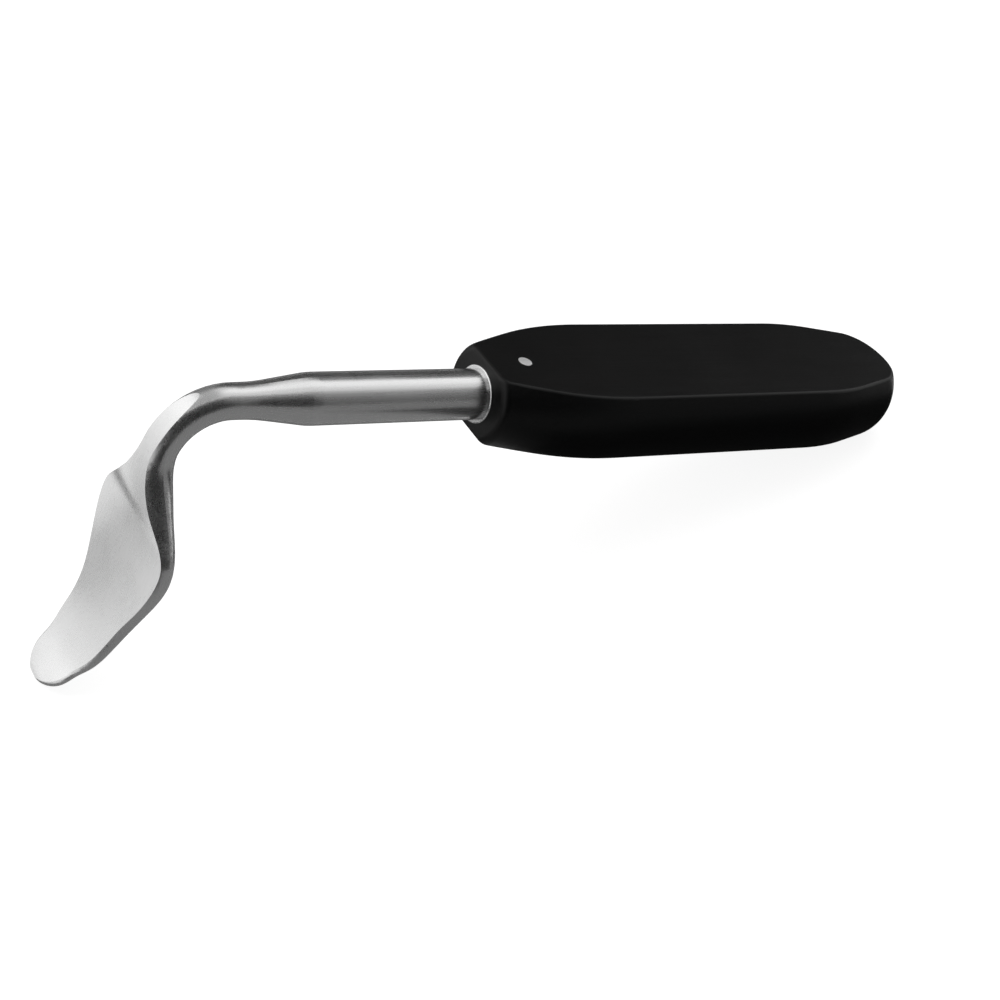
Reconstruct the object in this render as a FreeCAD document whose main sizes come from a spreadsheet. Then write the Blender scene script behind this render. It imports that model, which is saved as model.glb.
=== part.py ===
# Handheld retractor: one bent steel blade and shaft, a moulded grip with two flats,
# a steel ring where the shaft enters the grip, and a cross pin that locks the two.
#
# Axes while drawing, in millimetres: the shaft runs along X with the front face of the
# grip at X = 0, the grip at positive X and the blade at negative X.  The two flats of
# the grip face +Z and -Z and the blade turns down to -Z.  Y is the width.  At the end
# every piece gets the same placement, which tilts the retractor until the blade tip
# and the rear of the grip stand on Z = 0.
import FreeCAD
import Part
import Sketcher
import math
import os

os.makedirs("parts", exist_ok=True)
doc = FreeCAD.newDocument("Retractor")
V = FreeCAD.Vector

# Sizes
# Lengths in millimetres and angles in degrees, one named cell each.
SIZES = [
    ("shaft_diameter", 12.7),
    ("neck_diameter", 8.7),
    ("tang_length", 120.0),
    ("taper_start", 48.2),
    ("taper_end", 62.5),
    ("taper_start_blend", 20.0),
    ("taper_end_blend", 45.0),
    ("bend_start", 67.5),
    ("bend_radius", 14.8),
    ("bend_angle", 70.0),
    ("facet_radius", 23.5),
    ("facet_depth", 1.18),
    ("facet_reach", 40.0),
    ("facet_crown", 0.5),
    ("grip_length", 137.5),
    ("grip_diameter", 38.1),
    ("flat_spacing", 19.05),
    ("grip_front_diameter", 24.8),
    ("grip_front_ramp", 24.6),
    ("ramp_blend", 90.0),
    ("rear_taper_start", 110.3),
    ("rear_taper_drop", 6.0),
    ("rear_taper_blend", 70.0),
    ("rear_corner_radius", 11.0),
    ("front_rim_radius", 2.2),
    ("flat_edge_radius", 1.0),
    ("pin_diameter", 3.6),
    ("pin_offset", 11.25),
    ("ring_wall", 1.0),
    ("ring_seat_depth", 2.2),
    ("ring_stands_out", 0.5),
    ("ring_rim_radius", 0.3),
    ("tip_radius", 8.8),
    ("tip_x", -92.6),
    ("tip_z", -73.2),
    ("tip_lean", 40.0),
    ("tip_edge", 1.0),
    ("tip_crown", 4.0),
]

# Blade stations from the bend to the start of the round tip.
# Each row: name, X, Z and lean of the section plane (degrees from straight down
# towards the front), half width, how far the border of the front face lies inside
# that width, height of that border in front of the widest line, crown angle of the
# front face, back corner radius, back crown angle.
STATIONS = [
    ("neck_low", -82.4, -14.0, 10.0, 4.6, 1.64, 3.32, 1.0, 4.2, 52.0),
    ("flat_start", -82.3, -18.0, 2.0, 5.87, 1.59, 3.85, 2.0, 3.6, 33.0),
    ("flare_start", -81.9, -22.0, -1.0, 8.43, 1.7, 4.16, 3.0, 3.0, 22.0),
    ("flare_mid", -81.6, -26.0, -1.0, 11.55, 1.25, 3.73, 4.0, 2.3, 15.0),
    ("flare_end", -81.4, -30.0, 0.0, 14.75, 0.5, 2.7, 4.0, 2.0, 10.0),
    ("shoulder_top", -81.6, -34.0, 1.5, 17.51, 0.31, 2.0, 4.0, 2.0, 6.0),
    ("shoulder_low", -81.6, -38.05, 3.5, 18.11, 0.37, 2.18, 4.0, 1.9, 5.0),
    ("blade_upper", -82.0, -43.1, 5.5, 17.31, 0.44, 2.25, 4.0, 1.9, 5.0),
    ("blade_mid", -82.9, -50.1, 8.0, 14.88, 0.35, 2.16, 4.0, 1.7, 5.0),
    ("blade_lower", -84.3, -57.15, 13.0, 12.51, 0.68, 2.1, 4.0, 1.2, 5.0),
    ("curve_start", -86.8, -64.1, 22.0, 11.14, 0.71, 1.75, 4.0, 1.1, 5.0),
    ("curve_mid", -90.0, -70.1, 33.0, 10.0, 0.72, 1.49, 4.0, 0.95, 4.5),
]

# How far before the very end the sections of the round tip sit.
TIP_STEPS = [
    ("tip_full", 8.8),
    ("tip_a", 5.0),
    ("tip_b", 2.2),
    ("tip_c", 0.8),
    ("tip_d", 0.15),
]

sheet = doc.addObject("Spreadsheet::Sheet", "Sizes")
value = {}
row = 0


def add_size(name, number):
    global row
    row += 1
    sheet.set("A%d" % row, name)
    sheet.set("B%d" % row, str(number))
    sheet.setAlias("B%d" % row, name)
    value[name] = float(number)


for name, number in SIZES:
    add_size(name, number)
COLUMNS = ("x", "z", "lean", "half_width", "face_inset", "face_height", "face_crown",
           "back_corner", "back_crown")
for station in STATIONS:
    for column, number in zip(COLUMNS, station[1:]):
        add_size(station[0] + "_" + column, number)
for name, number in TIP_STEPS:
    add_size(name + "_step", number)
doc.recompute()


def origin_plane(body, role):
    for feature in body.Origin.OriginFeatures:
        if feature.Role == role:
            return feature
    raise ValueError(role)


def new_body(label):
    body = doc.addObject("PartDesign::Body", label)
    body.Label = label
    return body


def new_sketch(body, name, role):
    sketch = body.newObject("Sketcher::SketchObject", name)
    sketch.AttachmentSupport = (origin_plane(body, role), [""])
    sketch.MapMode = "FlatFace"
    return sketch


def cell(name):
    return "Sizes." + name


def bind(sketch, kind, args, number, expression):
    # Adds one size to a sketch and ties it to the sheet.
    index = sketch.addConstraint(Sketcher.Constraint(kind, *args, number))
    sketch.setExpression("Constraints[%d]" % index, expression)


def outline(sketch, corners, arcs=()):
    # Closed outline, drawn anticlockwise.  Each corner: (x, y, x expression, y
    # expression); None as expression keeps the corner on the axis of that sketch.
    # arcs maps the number of a corner to the radius and radius expression of the arc
    # that leads from it to the next corner; a negative radius is a hollow arc.
    count = len(corners)
    starts = []
    for i in range(count):
        a = V(corners[i][0], corners[i][1], 0)
        b = V(corners[(i + 1) % count][0], corners[(i + 1) % count][1], 0)
        if i not in arcs:
            sketch.addGeometry(Part.LineSegment(a, b), False)
            starts.append((1, 2))
            continue
        radius = arcs[i][0]
        chord = b - a
        rise = math.sqrt(radius ** 2 - (chord.Length / 2) ** 2)
        inward = V(-chord.y, chord.x, 0) / chord.Length
        centre = (a + b) / 2 + inward * math.copysign(rise, radius)
        first, last = (a, b) if radius > 0 else (b, a)
        start = math.atan2(first.y - centre.y, first.x - centre.x)
        stop = math.atan2(last.y - centre.y, last.x - centre.x)
        base = Part.Circle(centre, V(0, 0, 1), abs(radius))
        sketch.addGeometry(Part.ArcOfCircle(base, start, stop), False)
        starts.append((1, 2) if radius > 0 else (2, 1))
    for i in range(count):
        before = (i - 1) % count
        sketch.addConstraint(Sketcher.Constraint(
            "Coincident", before, starts[before][1], i, starts[i][0]))
    for i, (x, y, x_from, y_from) in enumerate(corners):
        point = (i, starts[i][0])
        if x_from is None:
            sketch.addConstraint(Sketcher.Constraint("PointOnObject", *point, -2))
        else:
            bind(sketch, "DistanceX", (-1, 1, *point), x, x_from)
        if y_from is None:
            sketch.addConstraint(Sketcher.Constraint("PointOnObject", *point, -1))
        else:
            bind(sketch, "DistanceY", (-1, 1, *point), y, y_from)
    for i in arcs:
        bind(sketch, "Radius", (i,), abs(arcs[i][0]), arcs[i][1])
    doc.recompute()


def circle(sketch, x, y, radius, x_from, y_from, radius_from):
    index = sketch.addGeometry(Part.Circle(V(x, y, 0), V(0, 0, 1), radius), False)
    if x_from is None:
        sketch.addConstraint(Sketcher.Constraint("PointOnObject", index, 3, -2))
    else:
        bind(sketch, "DistanceX", (-1, 1, index, 3), x, x_from)
    if y_from is None:
        sketch.addConstraint(Sketcher.Constraint("PointOnObject", index, 3, -1))
    else:
        bind(sketch, "DistanceY", (-1, 1, index, 3), y, y_from)
    bind(sketch, "Radius", (index,), radius, radius_from)
    doc.recompute()


def revolve(body, name, sketch, axis="H_Axis"):
    feature = body.newObject("PartDesign::Revolution", name)
    feature.Profile = sketch
    feature.ReferenceAxis = (sketch, [axis])
    feature.Angle = 360.0
    doc.recompute()
    return feature


def pocket(body, name, sketch, depth_from, backwards=False, both=False):
    feature = body.newObject("PartDesign::Pocket", name)
    feature.Profile = sketch
    feature.Type = "Length"
    feature.setExpression("Length", depth_from)
    feature.Reversed = backwards
    feature.Midplane = both
    doc.recompute()
    return feature


def round_edges(body, name, base, edges, radius_from):
    feature = body.newObject("PartDesign::Fillet", name)
    feature.Base = (base, edges)
    feature.setExpression("Radius", radius_from)
    doc.recompute()
    return feature


def ring_edges(feature, x, radius):
    # Names of the round edges about the X axis at one place.
    names = []
    for i, edge in enumerate(feature.Shape.Edges, 1):
        if edge.Curve.TypeId != "Part::GeomCircle":
            continue
        if abs(edge.Curve.Center.x - x) < 0.02 and abs(edge.Curve.Radius - radius) < 0.02:
            names.append("Edge%d" % i)
    return names


# Grip: a turned bar with a long rounded ramp in front and a tapered, rounded rear,
# cut by two flats, with a blind bore for the tang and a hole for the cross pin.
grip = new_body("handle")
rim = value["grip_front_diameter"] / 2
full = value["grip_diameter"] / 2
end = full - value["rear_taper_drop"]
sk = new_sketch(grip, "GripProfile", "XZ_Plane")
outline(sk, [
    (0, 0, None, None),
    (value["grip_length"], 0, cell("grip_length"), None),
    (value["grip_length"], end, cell("grip_length"),
     "Sizes.grip_diameter / 2 - Sizes.rear_taper_drop"),
    (value["rear_taper_start"], full, cell("rear_taper_start"), "Sizes.grip_diameter / 2"),
    (value["grip_front_ramp"], full, cell("grip_front_ramp"), "Sizes.grip_diameter / 2"),
    (0, rim, None, "Sizes.grip_front_diameter / 2"),
])
turned = revolve(grip, "GripTurned", sk)
ramp = round_edges(grip, "GripRamp", turned,
                   ring_edges(turned, value["grip_front_ramp"], full), cell("ramp_blend"))
taper = round_edges(grip, "GripTaper", ramp,
                    ring_edges(ramp, value["rear_taper_start"], full), cell("rear_taper_blend"))
rear = round_edges(grip, "GripRear", taper,
                   ring_edges(taper, value["grip_length"], end), cell("rear_corner_radius"))
round_edges(grip, "GripRim", rear, ring_edges(rear, 0, rim), cell("front_rim_radius"))
sk = new_sketch(grip, "FlatCuts", "YZ_Plane")
wide = value["grip_diameter"]
flat = value["flat_spacing"] / 2
for side in (1, -1):
    start = sk.GeometryCount
    corners = [(-wide, side * flat), (wide, side * flat), (wide, side * wide), (-wide, side * wide)]
    sign = "" if side > 0 else "-"
    for i in range(4):
        a = corners[i]
        b = corners[(i + 1) % 4]
        sk.addGeometry(Part.LineSegment(V(a[0], a[1], 0), V(b[0], b[1], 0)), False)
    for i in range(4):
        last = start + (i - 1) % 4
        sk.addConstraint(Sketcher.Constraint("Coincident", last, 2, start + i, 1))
        x, y = corners[i]
        bind(sk, "DistanceX", (-1, 1, start + i, 1), x,
             ("" if x > 0 else "-") + "Sizes.grip_diameter")
        bind(sk, "DistanceY", (-1, 1, start + i, 1), y,
             sign + ("Sizes.flat_spacing / 2" if i < 2 else "Sizes.grip_diameter"))
doc.recompute()
flats = pocket(grip, "Flats", sk, "2 * Sizes.grip_length", backwards=True)


def flat_outline(feature):
    # Edges round the two flats: every edge lying at the height of a flat.
    names = []
    for i, edge in enumerate(feature.Shape.Edges, 1):
        box = edge.BoundBox
        if box.ZLength < 0.01 and abs(abs(box.ZMax) - flat) < 0.01:
            names.append("Edge%d" % i)
    return names


round_edges(grip, "FlatEdges", flats, flat_outline(flats), cell("flat_edge_radius"))
sk = new_sketch(grip, "BoreSection", "YZ_Plane")
circle(sk, 0, 0, value["shaft_diameter"] / 2, None, None, "Sizes.shaft_diameter / 2")
pocket(grip, "Bore", sk, cell("tang_length"), backwards=True)
sk = new_sketch(grip, "RingSeatSection", "YZ_Plane")
ring_radius = value["shaft_diameter"] / 2 + value["ring_wall"]
ring_radius_text = "Sizes.shaft_diameter / 2 + Sizes.ring_wall"
circle(sk, 0, 0, ring_radius, None, None, ring_radius_text)
pocket(grip, "RingSeat", sk, cell("ring_seat_depth"), backwards=True)
sk = new_sketch(grip, "PinHoleSection", "XY_Plane")
circle(sk, value["pin_offset"], 0, value["pin_diameter"] / 2,
       cell("pin_offset"), None, "Sizes.pin_diameter / 2")
pocket(grip, "PinHole", sk, "2 * Sizes.grip_diameter", both=True)

# Blade and shaft: turned shaft with its tang and tapered neck, a round bend,
# then a loft from the neck through the wide shoulders to the round tip.
blade = new_body("blade_and_shaft")
sk = new_sketch(blade, "ShaftProfile", "XZ_Plane")
thick = value["shaft_diameter"] / 2
thin = value["neck_diameter"] / 2
slope = math.atan((thick - thin) / (value["taper_end"] - value["taper_start"]))
slope_text = ("atan((Sizes.shaft_diameter - Sizes.neck_diameter) / 2"
              " / (Sizes.taper_end - Sizes.taper_start))")
first = value["taper_start_blend"] * math.tan(slope / 2)
first_text = "Sizes.taper_start_blend * tan(%s / 2)" % slope_text
last = value["taper_end_blend"] * math.tan(slope / 2)
last_text = "Sizes.taper_end_blend * tan(%s / 2)" % slope_text
half_shaft = "Sizes.shaft_diameter / 2"
half_neck = "Sizes.neck_diameter / 2"
outline(sk, [
    (-value["bend_start"], 0, "-Sizes.bend_start", None),
    (value["tang_length"], 0, cell("tang_length"), None),
    (value["tang_length"], thick, cell("tang_length"), half_shaft),
    (first - value["taper_start"], thick, "%s - Sizes.taper_start" % first_text, half_shaft),
    (-value["taper_start"] - first * math.cos(slope), thick - first * math.sin(slope),
     "-Sizes.taper_start - %s * cos(%s)" % (first_text, slope_text),
     "%s - %s * sin(%s)" % (half_shaft, first_text, slope_text)),
    (last * math.cos(slope) - value["taper_end"], thin + last * math.sin(slope),
     "%s * cos(%s) - Sizes.taper_end" % (last_text, slope_text),
     "%s + %s * sin(%s)" % (half_neck, last_text, slope_text)),
    (-value["taper_end"] - last, thin, "-Sizes.taper_end - %s" % last_text, half_neck),
    (-value["bend_start"], thin, "-Sizes.bend_start", half_neck),
], {3: (value["taper_start_blend"], cell("taper_start_blend")),
    5: (-value["taper_end_blend"], cell("taper_end_blend"))})
revolve(blade, "ShaftTurned", sk)
sk = new_sketch(blade, "BendSection", "YZ_Plane")
sk.setExpression("AttachmentOffset.Base.z", "-Sizes.bend_start")
doc.recompute()
circle(sk, 0, 0, thin, None, None, "Sizes.neck_diameter / 2")
low = -value["bend_radius"]
line = sk.addGeometry(Part.LineSegment(V(low, low, 0), V(-low, low, 0)), True)
sk.addConstraint(Sketcher.Constraint("Symmetric", line, 1, line, 2, -2))
bind(sk, "DistanceX", (line, 1, line, 2), -2 * low, "2 * Sizes.bend_radius")
bind(sk, "DistanceY", (-1, 1, line, 1), low, "-Sizes.bend_radius")
doc.recompute()
bend = blade.newObject("PartDesign::Revolution", "Bend")
bend.Profile = sk
bend.ReferenceAxis = (sk, ["Axis0"])
bend.Reversed = True
bend.setExpression("Angle", cell("bend_angle"))
doc.recompute()

# Facet ground on the outside of the bend: it runs out towards the shaft and is deepest
# at the end of the bend, where the front face of the blade takes over.
turn = math.radians(value["bend_angle"])
facet_radius = value["facet_radius"]
facet_offset = facet_radius - value["bend_radius"] - thin + value["facet_depth"]
facet_offset_text = ("(Sizes.facet_radius - Sizes.bend_radius - Sizes.neck_diameter / 2"
                     " + Sizes.facet_depth)")
facet_x = facet_offset * math.sin(turn) - value["bend_start"]
facet_z = -value["bend_radius"] - facet_offset * math.cos(turn)
facet_x_text = "%s * sin(Sizes.bend_angle) - Sizes.bend_start" % facet_offset_text
facet_z_text = "-Sizes.bend_radius - %s * cos(Sizes.bend_angle)" % facet_offset_text


def facet_corner(angle, angle_text, radius, radius_text, beyond, beyond_text):
    # A corner of the cut: a point at an angle and radius about the facet's centre,
    # pushed on along the blade by the last pair.
    x = facet_x - radius * math.sin(angle) - beyond * math.cos(turn)
    z = facet_z + radius * math.cos(angle) - beyond * math.sin(turn)
    return (x, z,
            "%s - %s * sin(%s) - %s * cos(Sizes.bend_angle)"
            % (facet_x_text, radius_text, angle_text, beyond_text),
            "%s + %s * cos(%s) - %s * sin(Sizes.bend_angle)"
            % (facet_z_text, radius_text, angle_text, beyond_text))


facet_start = (turn - math.radians(value["facet_reach"]), "(Sizes.bend_angle - Sizes.facet_reach)")
facet_end = (turn, "Sizes.bend_angle")
inner = (facet_radius, "Sizes.facet_radius")
outer = (facet_radius + value["neck_diameter"], "(Sizes.facet_radius + Sizes.neck_diameter)")
at_end = (0.0, "0")
past_end = (thin, half_neck)
sk = new_sketch(blade, "BendFacetCut", "XZ_Plane")
outline(sk, [
    facet_corner(*facet_start, *inner, *at_end),
    facet_corner(*facet_start, *outer, *at_end),
    facet_corner(*facet_end, *outer, *past_end),
    facet_corner(*facet_end, *inner, *past_end),
    facet_corner(*facet_end, *inner, *at_end),
], {4: (-facet_radius, cell("facet_radius"))})
pocket(blade, "BendFacet", sk, "2 * Sizes.neck_diameter", both=True)


def section(name, x_from, z_from, lean_from, half, inset, height, crown_f, corner_b, crown_b):
    # One cross section of the blade: a slightly crowned front face with a crisp border,
    # a rounded flank from each border to the widest line, a rounded back corner and a
    # crowned back.  Every argument is a pair (number, expression).
    sketch = new_sketch(blade, name, "YZ_Plane")
    sketch.AttachmentOffset = FreeCAD.Placement(
        V(0, z_from[0], x_from[0]), FreeCAD.Rotation(V(-1, 0, 0), 90.0 - lean_from[0]))
    sketch.setExpression("AttachmentOffset.Base.z", x_from[1])
    sketch.setExpression("AttachmentOffset.Base.y", z_from[1])
    sketch.setExpression("AttachmentOffset.Rotation.Angle", "90 - (%s)" % lean_from[1])
    doc.recompute()
    a, ea = half
    g, eg = inset
    h, eh = height
    b, eb = corner_b
    cf = math.radians(crown_f[0])
    cb = math.radians(crown_b[0])
    front_radius = (a - g) / math.sin(cf)
    flank_radius = (g ** 2 + h ** 2) / (2 * g)
    flank_turn = math.atan2(h, flank_radius - g)
    back_radius = (a - b) / math.sin(cb) + b
    tb = (a - b + b * math.sin(cb), -b * math.cos(cb))
    front_y = h - front_radius * math.cos(cf)
    back_y = tb[1] + back_radius * math.cos(cb)

    def arc(cx, cy, radius, start, stop):
        base = Part.Circle(V(cx, cy, 0), V(0, 0, 1), radius)
        return sketch.addGeometry(Part.ArcOfCircle(base, start, stop), False)

    right = math.pi / 2
    arc(0, front_y, front_radius, right - cf, right + cf)
    arc(flank_radius - a, 0, flank_radius, 2 * right - flank_turn, 2 * right)
    arc(b - a, 0, b, 2 * right, 3 * right - cb)
    arc(0, back_y, back_radius, 3 * right - cb, 3 * right + cb)
    arc(a - b, 0, b, 3 * right + cb, 4 * right)
    arc(a - flank_radius, 0, flank_radius, 0, flank_turn)
    for i in range(6):
        sketch.addConstraint(Sketcher.Constraint("Coincident", i, 2, (i + 1) % 6, 1))
    half_text = "(%s)" % ea
    face_text = "(%s - (%s))" % (half_text, eg)
    bind(sketch, "DistanceX", (-1, 1, 0, 1), a - g, face_text)
    bind(sketch, "DistanceY", (-1, 1, 0, 1), h, eh)
    bind(sketch, "DistanceX", (-1, 1, 5, 1), a, half_text)
    sketch.addConstraint(Sketcher.Constraint("PointOnObject", 5, 1, -1))
    bind(sketch, "DistanceX", (-1, 1, 4, 1), tb[0],
         "%s - %s + %s * sin(%s)" % (half_text, eb, eb, crown_b[1]))
    bind(sketch, "DistanceY", (-1, 1, 4, 1), tb[1], "-%s * cos(%s)" % (eb, crown_b[1]))
    sketch.addConstraint(Sketcher.Constraint("Symmetric", 0, 1, 0, 2, -2))
    sketch.addConstraint(Sketcher.Constraint("Symmetric", 5, 1, 1, 2, -2))
    sketch.addConstraint(Sketcher.Constraint("Symmetric", 3, 1, 3, 2, -2))
    bind(sketch, "Radius", (0,), front_radius, "%s / sin(%s)" % (face_text, crown_f[1]))
    bind(sketch, "Radius", (3,), back_radius,
         "(%s - %s) / sin(%s) + %s" % (half_text, eb, crown_b[1], eb))
    bind(sketch, "Radius", (1,), flank_radius,
         "((%s) ^ 2 + (%s) ^ 2) / (2 * (%s))" % (eg, eh, eg))
    bind(sketch, "Radius", (2,), b, eb)
    sketch.addConstraint(Sketcher.Constraint("Equal", 1, 5))
    sketch.addConstraint(Sketcher.Constraint("Equal", 2, 4))
    doc.recompute()
    return sketch


bend_x = -value["bend_start"] - value["bend_radius"] * math.sin(turn)
bend_z = -value["bend_radius"] * (1 - math.cos(turn))
bend_x_text = "-Sizes.bend_start - Sizes.bend_radius * sin(Sizes.bend_angle)"
bend_z_text = "-Sizes.bend_radius * (1 - cos(Sizes.bend_angle))"
lean = 90.0 - value["bend_angle"]
lean_text = "90 - Sizes.bend_angle"
neck = (thin, half_neck)
face = thin - value["facet_depth"]
face_text = "Sizes.neck_diameter / 2 - Sizes.facet_depth"
inset = thin - math.sqrt(thin ** 2 - face ** 2)
inset_text = "(%s - sqrt((%s) ^ 2 - (%s) ^ 2))" % (half_neck, half_neck, face_text)
sections = []
for name, step in (("BendEnd", 0.0), ("NeckStart", 1.0)):
    x = bend_x - step * math.cos(turn)
    z = bend_z - step * math.sin(turn)
    sections.append(section(
        name,
        (x, "%s - %s * cos(Sizes.bend_angle)" % (bend_x_text, step)),
        (z, "%s - %s * sin(Sizes.bend_angle)" % (bend_z_text, step)),
        (lean, lean_text), neck, (inset, inset_text), (face, face_text),
        (value["facet_crown"], cell("facet_crown")), neck, (60.0, "60")))
for station in STATIONS:
    key = station[0] + "_"
    pairs = [(value[key + column], cell(key + column)) for column in COLUMNS]
    sections.append(section(station[0], *pairs))
tip_turn = math.radians(value["tip_lean"])
tip_crown = math.radians(value["tip_crown"])
for name, step in TIP_STEPS:
    back = value["tip_radius"] - step
    far = cell(name + "_step")
    x = value["tip_x"] - back * math.sin(tip_turn)
    z = value["tip_z"] - back * math.cos(tip_turn)
    back_text = "(Sizes.tip_radius - %s)" % far
    half = math.sqrt(2 * value["tip_radius"] * step - step * step)
    edge = value["tip_edge"]
    inner = max(edge - step, 0.0)
    edge = math.sqrt(edge * edge - inner * inner)
    edge_text = ("sqrt(Sizes.tip_edge ^ 2 - max(Sizes.tip_edge - %s; 0) ^ 2)" % far)
    sections.append(section(
        name,
        (x, "Sizes.tip_x - %s * sin(Sizes.tip_lean)" % back_text),
        (z, "Sizes.tip_z - %s * cos(Sizes.tip_lean)" % back_text),
        (value["tip_lean"], cell("tip_lean")),
        (half, "sqrt(2 * Sizes.tip_radius * %s - %s ^ 2)" % (far, far)),
        (edge * (1 - math.sin(tip_crown)), "(%s * (1 - sin(Sizes.tip_crown)))" % edge_text),
        (edge * math.cos(tip_crown), "(%s * cos(Sizes.tip_crown))" % edge_text),
        (value["tip_crown"], cell("tip_crown")),
        (edge, edge_text), (value["tip_crown"], cell("tip_crown"))))
loft = blade.newObject("PartDesign::AdditiveLoft", "BladeLoft")
loft.Profile = (sections[0], [""])
loft.Sections = [(sketch, [""]) for sketch in sections[1:]]
loft.Ruled = False
doc.recompute()
sk = new_sketch(blade, "ShaftPinSection", "XY_Plane")
circle(sk, value["pin_offset"], 0, value["pin_diameter"] / 2,
       cell("pin_offset"), None, "Sizes.pin_diameter / 2")
pocket(blade, "ShaftPinHole", sk, "2 * Sizes.shaft_diameter", both=True)

# Cross pin: through grip and shaft, ends flush with the flats.
pin = doc.addObject("Part::Cylinder", "cross_pin")
pin.Label = "cross_pin"
pin.setExpression("Radius", "Sizes.pin_diameter / 2")
pin.setExpression("Height", "Sizes.flat_spacing")
doc.recompute()

# Ring round the shaft, seated in the front face of the grip, its rim a little proud.
ring = new_body("front_ring")
sk = new_sketch(ring, "RingSection", "YZ_Plane")
sk.setExpression("AttachmentOffset.Base.z", "-Sizes.ring_stands_out")
doc.recompute()
circle(sk, 0, 0, ring_radius, None, None, ring_radius_text)
circle(sk, 0, 0, thick, None, None, "Sizes.shaft_diameter / 2")
pad = ring.newObject("PartDesign::Pad", "RingBody")
pad.Profile = sk
pad.setExpression("Length", "Sizes.ring_seat_depth + Sizes.ring_stands_out")
doc.recompute()
round_edges(ring, "RingRim", pad,
            ring_edges(pad, -value["ring_stands_out"], ring_radius), cell("ring_rim_radius"))

# Standing: the retractor is tilted about Y until the blade tip and the rear of the grip
# reach the same height, then moved so that it stands on Z = 0, centred on the origin.
blade_points = [(p.x, p.z) for p in blade.Shape.tessellate(0.02)[0]]
grip_points = [(p.x, p.z) for p in grip.Shape.tessellate(0.02)[0]]


def lowest(points, angle):
    s = math.sin(math.radians(angle))
    c = math.cos(math.radians(angle))
    return min(z * c - x * s for x, z in points)


flatter = 1.0
steeper = 60.0
for _ in range(40):
    tilt = (flatter + steeper) / 2
    if lowest(blade_points, tilt) < lowest(grip_points, tilt):
        flatter = tilt
    else:
        steeper = tilt
s = math.sin(math.radians(tilt))
c = math.cos(math.radians(tilt))
spread = [x * c + z * s for x, z in blade_points + grip_points]
standing = FreeCAD.Placement(
    V(-(min(spread) + max(spread)) / 2, 0, -lowest(grip_points, tilt)),
    FreeCAD.Rotation(V(0, 1, 0), tilt))
pieces = [grip, blade, pin, ring]
for piece in pieces:
    piece.Placement = standing
pin.Placement = standing.multiply(FreeCAD.Placement(
    V(value["pin_offset"], 0, -value["flat_spacing"] / 2), FreeCAD.Rotation()))
doc.recompute()

for item in doc.Objects:
    if "Invalid" in item.State or "Error" in item.State:
        raise ValueError("not built: " + item.Name)
for piece in pieces:
    if piece.Shape.isNull() or not piece.Shape.isValid():
        raise ValueError("bad shape: " + piece.Label)
    piece.Shape.exportStep("parts/" + piece.Label + ".step")
print("tilt", round(tilt, 4), "moved", round(standing.Base.x, 4), round(standing.Base.z, 4))
for piece in pieces:
    box = piece.Shape.optimalBoundingBox()
    print(piece.Label, round(piece.Shape.Volume, 1), box)
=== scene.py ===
"""Looks of the handheld retractor: satin steel blade and shaft, matte black grip, white studio."""

import math

import bpy
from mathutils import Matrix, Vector

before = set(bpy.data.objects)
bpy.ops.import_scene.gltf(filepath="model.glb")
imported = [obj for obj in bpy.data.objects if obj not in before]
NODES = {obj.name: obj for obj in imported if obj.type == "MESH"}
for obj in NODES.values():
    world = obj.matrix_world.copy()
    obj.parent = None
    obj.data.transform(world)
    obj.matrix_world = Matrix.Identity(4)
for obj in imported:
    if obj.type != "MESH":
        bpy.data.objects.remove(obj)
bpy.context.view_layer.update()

# The view: a long lens from the blade's side, above the shaft
CAMERA_PLACE = (-0.205956, -0.327192, 0.361939)
CAMERA_TURN = (47.5744, -3.9673, -28.8253)
CAMERA_LENS = 72.0
CAMERA_SENSOR = 36.0

# How far the shaft slopes down towards the grip, and the front of the grip on the shaft's axis
SHAFT_SLOPE = 16.8788
GRIP_FRONT = (-0.0079194, 0.0, 0.048506)

# Where the bend starts and ends along the shaft, measured from the front of the grip
BEND_START = -0.066
BEND_END = -0.078

# Finish of the metal parts: tone and roughness
BLADE_FINISH = (0.63, 0.28)
RING_FINISH = (0.66, 0.2)
PIN_FINISH = (0.95, 0.5)

# How much longer than wide a hair line in the steel is
HAIR_LINE = 48.0

# Studio: the floor's tone for light that falls on it, the white that it adds for the camera,
# and the room's level for matt surfaces
FLOOR_TONE = 0.35
FLOOR_GLOW = 0.88
FLOOR_HALF = 4.0
FLOOR_HEIGHT = -0.0002
ROOM_LEVEL = 0.32
WHITE = (1.0, 1.0, 1.0, 1.0)

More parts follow.
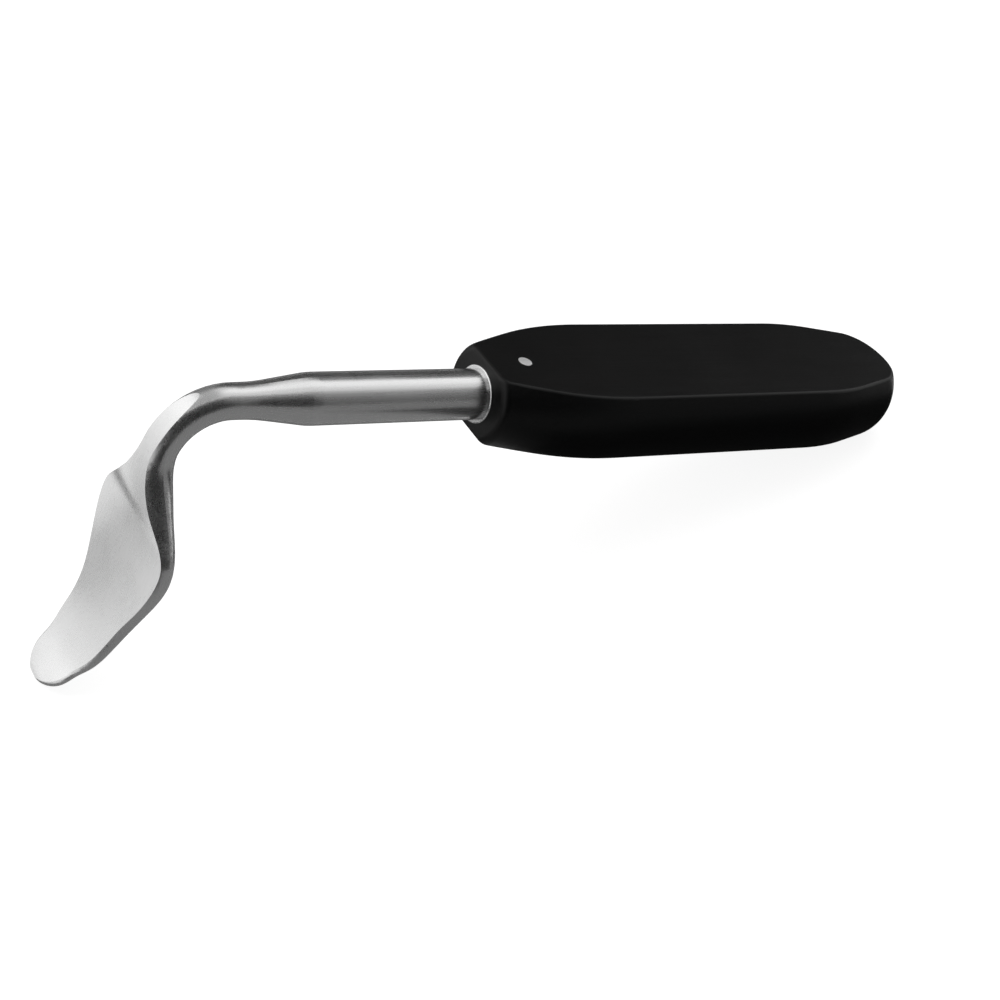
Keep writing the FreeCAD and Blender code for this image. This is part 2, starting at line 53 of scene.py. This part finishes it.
# Grey cards that only reflections see: name, corner, side that the tone runs along, other side,
# and the tone at the start and at the end of that first side.
# On the floor: dark beyond the blade and beside the grip, grey elsewhere, pale behind the blade.
FLOOR_CARDS = (
    ("floor_far_left", (-0.5, -0.8, 0.0), (0.39, 0.0, 0.0), (0.0, 0.755, 0.0), 0.013, 0.013),
    ("floor_by_blade", (-0.14, -0.045, 0.0), (0.14, 0.0, 0.0), (0.0, 0.045, 0.0), 0.27, 0.27),
    ("floor_by_shaft", (-0.11, -0.8, 0.0), (0.11, 0.0, 0.0), (0.0, 0.755, 0.0), 0.27, 0.27),
    ("floor_by_grip", (0.0, -0.09, 0.0), (0.16, 0.0, 0.0), (0.0, 0.085, 0.0), 0.03, 0.03),
    ("floor_front_right", (0.0, -0.8, 0.0), (0.8, 0.0, 0.0), (0.0, 0.71, 0.0), 0.25, 0.25),
    ("floor_right", (0.16, -0.09, 0.0), (0.64, 0.0, 0.0), (0.0, 0.085, 0.0), 0.25, 0.25),
    ("floor_behind", (-0.12, 0.001, 0.0), (0.92, 0.0, 0.0), (0.0, 0.6, 0.0), 0.17, 0.17),
    ("floor_left_behind", (-0.12, 0.047, 0.0001), (-0.0355, -0.0355, 0.0), (-0.45, 0.45, 0.0), 0.55, 0.95),
)

# In the room: the near side dark on the left, the back dark low down, the left back and right bright
ROOM_CARDS = (
    ("near_wall_left", (-1.2, -0.9, 0.0), (1.65, 0.0, 0.0), (0.0, 0.2, 1.3), 0.03, 0.03),
    ("near_wall_right", (0.45, -0.9, 0.0), (0.0, 0.2, 1.3), (1.15, 0.0, 0.0), 0.12, 0.42),
    ("back_wall", (0.25, 0.9, 0.0), (0.55, -0.55, 0.0), (0.0, 0.0, 0.75), 0.07, 0.07),
    ("back_left", (-0.42, 0.95, 0.0), (0.0, -0.4, 1.3), (0.67, 0.0, 0.0), 0.15, 0.55),
    ("left_wall_side", (-1.1, -0.1, 0.0), (0.0, 0.0, 0.6), (0.32, 0.32, 0.0), 0.7, 0.9),
    ("left_wall_low", (-0.78, 0.22, 0.0), (0.0, 0.0, 0.6), (0.48, 0.48, 0.0), 1.0, 1.7),
    ("left_wall_high", (-1.1, -0.1, 0.6), (0.2, -0.2, 0.6), (0.8, 0.8, 0.0), 1.7, 1.7),
    ("overhead", (-0.6, -0.5, 1.15), (0.98, 0.0, 0.0), (0.0, 1.1, 0.0), 0.5, 0.5),
    ("right_glow", (0.95, -0.05, 0.42), (-0.55, 0.0, 0.73), (0.0, 0.55, 0.0), 1.4, 1.4),
)

# Soft lamps for matt surfaces and the shadow: name, place, aim, size and how bright the face is
SOFTBOXES = (
    ("top_light", (0.3, 0.4, 1.05), (0.1, 0.0, 0.05), (1.4, 1.0), 1.6),
    ("left_light", (-0.75, 0.9, 0.85), (-0.08, 0.0, 0.03), (1.0, 1.0), 1.7),
)


class Nodes:
    """A short way to build one material's node tree."""

    def __init__(self, name):
        self.material = bpy.data.materials.new(name)
        self.material.use_nodes = True
        self.tree = self.material.node_tree
        self.tree.nodes.clear()
        self.output = self.add("ShaderNodeOutputMaterial")

    def add(self, kind, **settings):
        node = self.tree.nodes.new(kind)
        for key, value in settings.items():
            if key in node.inputs.keys():
                node.inputs[key].default_value = value
            else:
                setattr(node, key, value)
        return node

    def join(self, source, target):
        self.tree.links.new(source, target)

    def along_shaft(self):
        """Coordinates with X along the shaft, in metres from the front of the grip."""
        place = self.add("ShaderNodeTexCoord")
        turn = self.add("ShaderNodeMapping", vector_type="TEXTURE")
        turn.inputs["Location"].default_value = GRIP_FRONT
        turn.inputs["Rotation"].default_value = (0.0, math.radians(SHAFT_SLOPE), 0.0)
        self.join(place.outputs["Object"], turn.inputs["Vector"])
        return turn.outputs["Vector"]

    def noise(self, vector, scale, stretch=(1.0, 1.0, 1.0), detail=2.0, roughness=0.5):
        """Noise at scale features to the metre, drawn out by stretch."""
        size = self.add("ShaderNodeMapping")
        size.inputs["Scale"].default_value = [scale / s for s in stretch]
        self.join(vector, size.inputs["Vector"])
        noise = self.add("ShaderNodeTexNoise", Scale=1.0, Detail=detail, Roughness=roughness)
        self.join(size.outputs["Vector"], noise.inputs["Vector"])
        return noise.outputs["Fac"]

    def spread(self, value, low, high, start=0.3, end=0.7):
        """Maps a value between start and end onto low to high."""
        change = self.add("ShaderNodeMapRange")
        for key, number in (("From Min", start), ("From Max", end), ("To Min", low), ("To Max", high)):
            change.inputs[key].default_value = number
        self.join(value, change.inputs["Value"])
        return change.outputs["Result"]

    def mix(self, share, first, second):
        """A blend of two values."""
        blend = self.add("ShaderNodeMix", data_type="FLOAT")
        self.join(share, blend.inputs[0])
        self.join(first, blend.inputs[2])
        self.join(second, blend.inputs[3])
        return blend.outputs[0]

    def sum(self, first, second, share=1.0):
        """The first value and a share of the second."""
        total = self.add("ShaderNodeMath", operation="MULTIPLY_ADD")
        self.join(second, total.inputs[0])
        total.inputs[1].default_value = share
        self.join(first, total.inputs[2])
        return total.outputs["Value"]

    def bump(self, height, distance, strength=1.0):
        bump = self.add("ShaderNodeBump", Distance=distance, Strength=strength)
        self.join(height, bump.inputs["Height"])
        return bump.outputs["Normal"]

    def grey(self, value):
        """A grey colour from a value."""
        colour = self.add("ShaderNodeCombineColor")
        for key in ("Red", "Green", "Blue"):
            self.join(value, colour.inputs[key])
        return colour.outputs["Color"]


def satin_steel(name, tone, roughness):
    """Finely brushed steel: hair lines along the shaft, and down the blade past the bend."""
    n = Nodes(name)
    place = n.along_shaft()
    apart = n.add("ShaderNodeSeparateXYZ")
    n.join(place, apart.inputs["Vector"])
    past_bend = n.spread(apart.outputs["X"], 0.0, 1.0, start=BEND_START, end=BEND_END)
    shaft_lines = n.noise(place, 2600.0, stretch=(HAIR_LINE, 1.0, 1.0), detail=3.0)
    blade_lines = n.noise(place, 2600.0, stretch=(1.0, 1.0, HAIR_LINE), detail=3.0)
    lines = n.mix(past_bend, shaft_lines, blade_lines)
    clouds = n.noise(place, 90.0, detail=3.0)
    grain = n.noise(place, 5200.0, detail=1.0)

    shader = n.add("ShaderNodeBsdfPrincipled", Metallic=1.0)
    tones = n.sum(n.spread(lines, tone * 0.96, tone * 1.02), n.spread(clouds, -0.015, 0.015))
    n.join(n.grey(tones), shader.inputs["Base Color"])
    rough = n.sum(n.spread(lines, roughness * 0.9, roughness * 1.1), n.spread(clouds, -0.02, 0.02))
    n.join(rough, shader.inputs["Roughness"])
    n.join(n.bump(n.sum(lines, grain, 0.35), 0.000006), shader.inputs["Normal"])
    n.join(shader.outputs["BSDF"], n.output.inputs["Surface"])
    return n.material


def grip_plastic(name):
    """Matte black plastic with a fine grain and faint lines from its machining."""
    n = Nodes(name)
    place = n.along_shaft()
    grain = n.noise(place, 2400.0, detail=4.0, roughness=0.6)
    lines = n.noise(place, 1500.0, stretch=(30.0, 1.0, 1.0), detail=2.0)
    clouds = n.noise(place, 45.0, detail=3.0)

    shader = n.add("ShaderNodeBsdfPrincipled")
    shader.inputs["Specular IOR Level"].default_value = 0.2
    n.join(n.grey(n.spread(grain, 0.0014, 0.0032)), shader.inputs["Base Color"])
    rough = n.sum(n.spread(clouds, 0.33, 0.4), n.spread(lines, -0.03, 0.03))
    n.join(rough, shader.inputs["Roughness"])
    n.join(n.bump(n.sum(grain, lines, 0.5), 0.000015), shader.inputs["Normal"])
    n.join(shader.outputs["BSDF"], n.output.inputs["Surface"])
    return n.material


def paint(node, material):
    """Gives a CAD node its material."""
    NODES[node].data.materials.clear()
    NODES[node].data.materials.append(material)


def plane(name, low, high, height):
    """A level rectangle for the studio, from one corner to the other."""
    mesh = bpy.data.meshes.new(name)
    corners = [(low[0], low[1], 0), (high[0], low[1], 0), (high[0], high[1], 0), (low[0], high[1], 0)]
    mesh.from_pydata(corners, [], [(0, 1, 2, 3)])
    thing = bpy.data.objects.new(name, mesh)
    thing.location = (0.0, 0.0, height)
    bpy.context.scene.collection.objects.link(thing)
    return thing


def background_share(tree):
    """1 for rays that should find plain white: from the camera, off metal and through glass."""
    path = tree.nodes.new("ShaderNodeLightPath")
    last = path.outputs["Is Camera Ray"]
    for kind in ("Is Glossy Ray", "Is Transmission Ray"):
        either = tree.nodes.new("ShaderNodeMath")
        either.operation = "MAXIMUM"
        tree.links.new(last, either.inputs[0])
        tree.links.new(path.outputs[kind], either.inputs[1])
        last = either.outputs["Value"]
    return last


def white_floor():
    """A pale floor that shows as white, with the object's shadow left on it."""
    n = Nodes("floor_white")
    glow = n.add("ShaderNodeEmission")
    strength = n.add("ShaderNodeMath", operation="MULTIPLY")
    n.join(background_share(n.tree), strength.inputs[0])
    strength.inputs[1].default_value = FLOOR_GLOW
    n.join(strength.outputs["Value"], glow.inputs["Strength"])
    body = n.add("ShaderNodeBsdfDiffuse")
    body.inputs["Color"].default_value = (FLOOR_TONE, FLOOR_TONE, FLOOR_TONE, 1.0)
    both = n.add("ShaderNodeAddShader")
    n.join(body.outputs["BSDF"], both.inputs[0])
    n.join(glow.outputs["Emission"], both.inputs[1])
    n.join(both.outputs["Shader"], n.output.inputs["Surface"])
    floor = plane("floor", (-FLOOR_HALF, -FLOOR_HALF), (FLOOR_HALF, FLOOR_HALF), FLOOR_HEIGHT)
    floor.data.materials.append(n.material)


def studio_world():
    """A white room for the camera and for reflections, and an even pale one for matt surfaces."""
    world = bpy.data.worlds.new("room")
    bpy.context.scene.world = world
    world.use_nodes = True
    tree = world.node_tree
    tree.nodes.clear()
    output = tree.nodes.new("ShaderNodeOutputWorld")
    background = tree.nodes.new("ShaderNodeBackground")
    background.inputs["Color"].default_value = WHITE
    level = tree.nodes.new("ShaderNodeMix")
    level.inputs[2].default_value = ROOM_LEVEL
    level.inputs[3].default_value = 1.0
    tree.links.new(background_share(tree), level.inputs[0])
    tree.links.new(level.outputs[0], background.inputs["Strength"])
    tree.links.new(background.outputs["Background"], output.inputs["Surface"])


def card(name, corner, along, across, first, last):
    """A grey card that only reflections see; its tone runs from first to last along one side."""
    start, side, other = Vector(corner), Vector(along), Vector(across)
    mesh = bpy.data.meshes.new(name)
    mesh.from_pydata([start, start + side, start + side + other, start + other], [], [(0, 1, 2, 3)])
    shades = mesh.color_attributes.new("shade", "FLOAT_COLOR", "POINT")
    for i, tone in enumerate((first, last, last, first)):
        shades.data[i].color = (tone, tone, tone, 1.0)
    n = Nodes(name + "_shade")
    shade = n.add("ShaderNodeVertexColor", layer_name="shade")
    glow = n.add("ShaderNodeEmission")
    n.join(shade.outputs["Color"], glow.inputs["Color"])
    n.join(glow.outputs["Emission"], n.output.inputs["Surface"])
    mesh.materials.append(n.material)
    thing = bpy.data.objects.new(name, mesh)
    for kind in ("camera", "diffuse", "transmission", "volume_scatter", "shadow"):
        setattr(thing, "visible_" + kind, False)
    bpy.context.scene.collection.objects.link(thing)


def softbox(name, place, aim, size, level):
    """A soft rectangular lamp that points at aim; the cards stand for it in reflections."""
    lamp = bpy.data.lights.new(name, "AREA")
    lamp.shape = "RECTANGLE"
    lamp.size, lamp.size_y = size
    lamp.energy = level * math.pi * size[0] * size[1]
    thing = bpy.data.objects.new(name, lamp)
    thing.location = place
    thing.rotation_mode = "QUATERNION"
    thing.rotation_quaternion = (Vector(aim) - Vector(place)).to_track_quat("-Z", "Y")
    thing.visible_glossy = False
    bpy.context.scene.collection.objects.link(thing)


def camera():
    """The camera at the photograph's place."""
    lens = bpy.data.cameras.new("camera")
    lens.lens = CAMERA_LENS
    lens.sensor_width = CAMERA_SENSOR
    lens.clip_start = 0.01
    thing = bpy.data.objects.new("camera", lens)
    thing.location = CAMERA_PLACE
    thing.rotation_euler = [math.radians(a) for a in CAMERA_TURN]
    bpy.context.scene.collection.objects.link(thing)
    bpy.context.scene.camera = thing


paint("blade_and_shaft", satin_steel("blade_steel_satin", *BLADE_FINISH))
paint("front_ring", satin_steel("ring_steel_satin", *RING_FINISH))
paint("cross_pin", satin_steel("pin_steel_ground", *PIN_FINISH))
paint("handle", grip_plastic("grip_plastic_matte"))

white_floor()
studio_world()
for row in FLOOR_CARDS + ROOM_CARDS:
    card(*row)
for row in SOFTBOXES:
    softbox(*row)
camera()
bpy.context.scene.view_settings.view_transform = "Standard"
